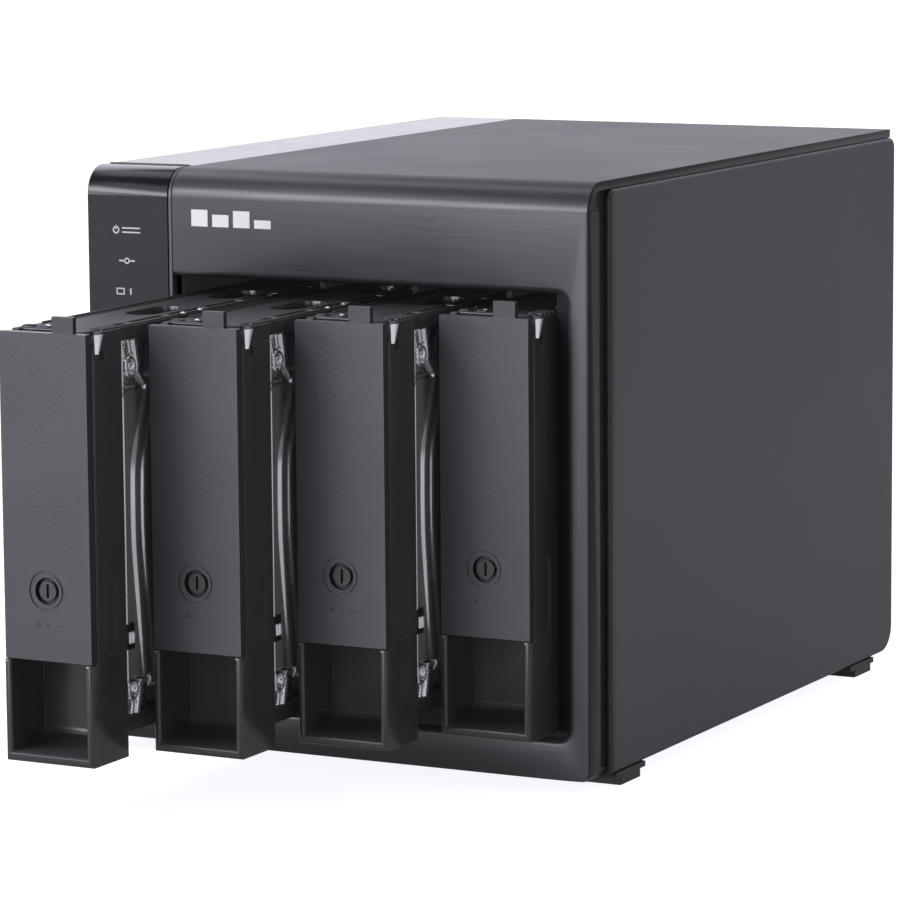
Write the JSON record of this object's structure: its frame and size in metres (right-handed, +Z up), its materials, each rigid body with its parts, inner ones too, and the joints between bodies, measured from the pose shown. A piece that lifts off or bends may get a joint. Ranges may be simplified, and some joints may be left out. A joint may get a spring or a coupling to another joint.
{
  "type": "network attached storage",
  "caption": "Desktop network storage enclosure with hot-swap drive trays pulled out in steps, latch levers with coin locks, gloss status strip, vented rear and fan.",
  "frame": {"origin": "on the resting plane under the feet, below the middle of the body", "axes": "+X to the right seen from the front, +Y from the front to the back, +Z up"},
  "size_m": [0.16, 0.311, 0.1685],
  "materials": {
    "skin_plastic": "satin with a faint brushed grain",
    "gloss_panel": "gloss",
    "side_paint": "fine matt powder coat",
    "black_steel": "matt",
    "circuit_board": "solder mask",
    "black_plastic": "matt",
    "heatsink": "brushed",
    "bright_wire": "polished",
    "screw_steel": "plated",
    "port_shell": "plated",
    "clear_plastic": "clear",
    "button_plastic": "gloss",
    "foot_rubber": "matt",
    "tray_plastic": "fine texture",
    "lever_plastic": "satin",
    "lock_plastic": "satin",
    "spring_steel": "plated",
    "cast_drive": "cast",
    "drive_lid": "brushed"
  },
  "bodies": {
    "chassis": {"front_bezel": "skin_plastic", "seam_bead": "skin_plastic", "status_panel": "gloss_panel", "top_strip": "gloss_panel", "side_panel_left": "side_paint", "side_panel_right": "side_paint", "base_pan": "black_steel", "drive_cage": "black_steel", "rear_panel": "black_steel", "backplane_board": "circuit_board", "drive_sockets": "black_plastic", "main_board": "circuit_board", "main_heatsink": "heatsink", "fan_frame": "black_plastic", "fan_guard": "bright_wire", "fan_screws": "screw_steel", "dc_jack": "black_plastic", "network_port": "port_shell", "expansion_port": "port_shell", "led_board": "circuit_board", "light_pipe": "clear_plastic", "foot_front_left": "foot_rubber", "foot_front_right": "foot_rubber", "foot_rear_left": "foot_rubber", "foot_rear_right": "foot_rubber"},
    "fan": {"fan_rotor": "black_plastic"},
    "power_key": {"power_button": "button_plastic"},
    "reset_key": {"reset_button": "black_plastic"},
    "tray_1": {"tray_frame_1": "tray_plastic", "contact_spring_1": "spring_steel", "drive_housing_1": "cast_drive", "drive_cover_1": "drive_lid", "drive_board_1": "circuit_board", "drive_screws_1": "screw_steel"},
    "lever_1": {"tray_lever_1": "lever_plastic"},
    "lock_1": {"tray_lock_1": "lock_plastic"},
    "tray_2": {"tray_frame_2": "tray_plastic", "contact_spring_2": "spring_steel", "drive_housing_2": "cast_drive", "drive_cover_2": "drive_lid", "drive_board_2": "circuit_board", "drive_screws_2": "screw_steel"},
    "lever_2": {"tray_lever_2": "lever_plastic"},
    "lock_2": {"tray_lock_2": "lock_plastic"},
    "tray_3": {"tray_frame_3": "tray_plastic", "contact_spring_3": "spring_steel", "drive_housing_3": "cast_drive", "drive_cover_3": "drive_lid", "drive_board_3": "circuit_board", "drive_screws_3": "screw_steel"},
    "lever_3": {"tray_lever_3": "lever_plastic"},
    "lock_3": {"tray_lock_3": "lock_plastic"},
    "tray_4": {"tray_frame_4": "tray_plastic", "contact_spring_4": "spring_steel", "drive_housing_4": "cast_drive", "drive_cover_4": "drive_lid", "drive_board_4": "circuit_board", "drive_screws_4": "screw_steel"},
    "lever_4": {"tray_lever_4": "lever_plastic"},
    "lock_4": {"tray_lock_4": "lock_plastic"}
  },
  "joints": [
    {"name": "fan_spin", "type": "hinge", "parent": "chassis", "child": "fan", "pos_m": [0.01, 0.094, 0.076], "axis": [0, 1, 0], "continuous": true},
    {"name": "power_press", "type": "slide", "parent": "chassis", "child": "power_key", "axis": [0, 1, 0], "range_m": [0, 0.001]},
    {"name": "reset_press", "type": "slide", "parent": "chassis", "child": "reset_key", "axis": [0, -1, 0], "range_m": [0, 0.001]},
    {"name": "tray_1_slide", "type": "slide", "parent": "chassis", "child": "tray_1", "axis": [0, -1, 0], "range_m": [-0.092, 0.058]},
    {"name": "lever_1_pull", "type": "hinge", "parent": "tray_1", "child": "lever_1", "pos_m": [-0.0365, -0.1935, 0.1262], "axis": [-1, 0, 0], "range_deg": [0, 45]},
    {"name": "lock_1_turn", "type": "hinge", "parent": "lever_1", "child": "lock_1", "pos_m": [-0.0365, -0.1965, 0.0635], "axis": [0, 1, 0], "range_deg": [0, 90]},
    {"name": "tray_2_slide", "type": "slide", "parent": "chassis", "child": "tray_2", "axis": [0, -1, 0], "range_m": [-0.065, 0.085]},
    {"name": "lever_2_pull", "type": "hinge", "parent": "tray_2", "child": "lever_2", "pos_m": [-0.0065, -0.1665, 0.1262], "axis": [-1, 0, 0], "range_deg": [0, 45]},
    {"name": "lock_2_turn", "type": "hinge", "parent": "lever_2", "child": "lock_2", "pos_m": [-0.0065, -0.1695, 0.0635], "axis": [0, 1, 0], "range_deg": [0, 90]},
    {"name": "tray_3_slide", "type": "slide", "parent": "chassis", "child": "tray_3", "axis": [0, -1, 0], "range_m": [-0.039, 0.111]},
    {"name": "lever_3_pull", "type": "hinge", "parent": "tray_3", "child": "lever_3", "pos_m": [0.0235, -0.1405, 0.1262], "axis": [-1, 0, 0], "range_deg": [0, 45]},
    {"name": "lock_3_turn", "type": "hinge", "parent": "lever_3", "child": "lock_3", "pos_m": [0.0235, -0.1435, 0.0635], "axis": [0, 1, 0], "range_deg": [0, 90]},
    {"name": "tray_4_slide", "type": "slide", "parent": "chassis", "child": "tray_4", "axis": [0, -1, 0], "range_m": [-0.0125, 0.1375]},
    {"name": "lever_4_pull", "type": "hinge", "parent": "tray_4", "child": "lever_4", "pos_m": [0.0535, -0.114, 0.1262], "axis": [-1, 0, 0], "range_deg": [0, 45]},
    {"name": "lock_4_turn", "type": "hinge", "parent": "lever_4", "child": "lock_4", "pos_m": [0.0535, -0.117, 0.0635], "axis": [0, 1, 0], "range_deg": [0, 90]}
  ]
}
